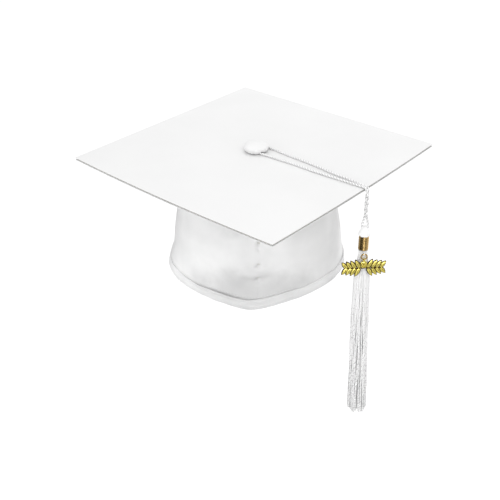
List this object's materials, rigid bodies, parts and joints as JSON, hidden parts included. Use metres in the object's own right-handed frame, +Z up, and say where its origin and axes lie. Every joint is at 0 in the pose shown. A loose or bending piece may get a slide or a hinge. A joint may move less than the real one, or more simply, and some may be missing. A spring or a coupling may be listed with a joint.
{
  "type": "graduation cap",
  "caption": "Square-board graduation cap with a flared soft crown, covered button, looped cord, tassel and gold laurel charm.",
  "frame": {"origin": "centre of the head opening, in the plane of the crown's lower edge", "axes": "+Z up, square to the board; -Y towards the wearer's front, where one board corner points; +X towards the corner over the wearer's left hand, the side the tassel hangs on"},
  "size_m": [0.339, 0.339, 0.2643],
  "materials": {
    "white_satin": "satin weave, soft sheen",
    "board_card": "grey pressed card",
    "buckram": "stiff open weave",
    "elastic": "ribbed elastic",
    "button_metal": "pressed tinplate",
    "tassel_cord": "twisted rayon cord, soft sheen",
    "tassel_fringe": "fine rayon threads",
    "antique_gold": "bright gold plate with dark recesses"
  },
  "bodies": {
    "cap": {"board_core": "board_card", "board_top_cover": "white_satin", "board_bottom_cover": "white_satin", "crown_top_seam": "white_satin", "crown_panel_right": "white_satin", "crown_panel_left": "white_satin", "crown_stiffener_right": "buckram", "crown_stiffener_left": "buckram", "front_seam_tape": "white_satin", "back_seam_tape": "white_satin", "hem_band": "white_satin", "elastic_casing": "white_satin", "elastic_band": "elastic", "button_cover": "white_satin", "button_shell": "button_metal", "button_back_plate": "button_metal", "button_rivet": "button_metal", "rivet_washer": "button_metal"},
    "cord_loop_body": {"cord_loop": "tassel_cord"},
    "hanging_cord": {"cord_bend": "tassel_cord", "cord_twisted_pair": "tassel_cord", "cord_end_left": "tassel_cord", "cord_end_right": "tassel_cord"},
    "tassel": {"tassel_head": "tassel_cord", "tassel_ferrule": "antique_gold", "tassel_fringe": "tassel_fringe", "charm_thread": "tassel_cord"},
    "charm": {"jump_ring": "antique_gold", "laurel_charm": "antique_gold"}
  },
  "joints": [
    {"name": "cord_swivel", "type": "hinge", "parent": "cap", "child": "cord_loop_body", "pos_m": [0, 0, 0.12], "axis": [0, 0, 1], "range_deg": [-4, 4]},
    {"name": "cord_swing", "type": "hinge", "parent": "cord_loop_body", "child": "hanging_cord", "pos_m": [0.09012, -0.08729, 0.1202], "axis": [-0.7071, -0.7071, 0], "range_deg": [-5, 70]},
    {"name": "tassel_sway", "type": "hinge", "parent": "hanging_cord", "child": "tassel", "pos_m": [0.09012, -0.08729, 0.08], "axis": [0.7071, -0.7071, 0], "range_deg": [-30, 30]},
    {"name": "charm_swing", "type": "hinge", "parent": "tassel", "child": "charm", "pos_m": [0.09012, -0.09359, 0.0576], "axis": [-1, 0, 0], "range_deg": [0, 70]}
  ]
}
